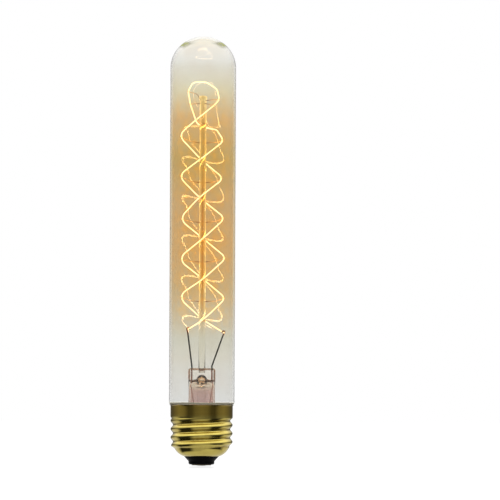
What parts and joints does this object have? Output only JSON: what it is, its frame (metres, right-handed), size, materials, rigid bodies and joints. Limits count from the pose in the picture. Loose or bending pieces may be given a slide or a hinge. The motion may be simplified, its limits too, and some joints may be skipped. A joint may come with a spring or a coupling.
{
  "type": "tubular filament light bulb",
  "caption": "Long tubular filament bulb with a round end, a wire filament wound as a double helix around a glass rod, and a brass screw cap.",
  "frame": {"origin": "lowest point of the centre contact, on the lamp's axis", "axes": "+Z along the lamp from the cap to the dome; -Y is the front, from which the filament's leads stand left and right; +X is the viewer's right"},
  "size_m": [0.0284, 0.0284, 0.185],
  "materials": {
    "bulb_glass": "clear glass with an amber tint that fades towards both ends",
    "shell_brass": "rolled brass, polished, with light wear on the thread",
    "cement": "matt basing cement",
    "black_glass": "glossy black glass",
    "contact_brass": "pressed brass plate",
    "solder": "dull tin solder",
    "stem_glass": "clear lead glass",
    "rod_glass": "clear glass rod",
    "filament": "glowing wire",
    "lead_nickel": "dull nickel-plated iron",
    "copper_wire": "copper",
    "anchor_wire": "oxidised molybdenum, dark red"
  },
  "bodies": {
    "root": {"glass_envelope": "bulb_glass", "screw_shell": "shell_brass", "basing_cement": "cement", "insulator": "black_glass", "centre_contact": "contact_brass", "contact_solder": "solder", "side_solder": "solder", "stem_glass": "stem_glass", "exhaust_tube": "stem_glass", "arbor_rod": "rod_glass", "filament": "filament", "inner_lead_left": "lead_nickel", "inner_lead_right": "lead_nickel", "seal_wire_left": "copper_wire", "seal_wire_right": "copper_wire", "outer_lead_centre": "copper_wire", "outer_lead_side": "copper_wire", "support_top_left": "anchor_wire", "support_top_right": "anchor_wire", "support_left_1": "anchor_wire", "support_right_1": "anchor_wire", "support_front_1": "anchor_wire", "support_back_1": "anchor_wire", "support_left_2": "anchor_wire", "support_right_2": "anchor_wire", "support_front_2": "anchor_wire", "support_back_2": "anchor_wire", "support_left_3": "anchor_wire", "support_right_3": "anchor_wire", "support_front_3": "anchor_wire", "support_back_3": "anchor_wire", "support_left_4": "anchor_wire", "support_right_4": "anchor_wire", "support_front_4": "anchor_wire", "support_back_4": "anchor_wire", "support_left_5": "anchor_wire", "support_right_5": "anchor_wire", "support_front_5": "anchor_wire", "support_back_5": "anchor_wire", "support_left_6": "anchor_wire", "support_right_6": "anchor_wire", "support_front_6": "anchor_wire", "support_back_6": "anchor_wire"}
  },
  "joints": []
}
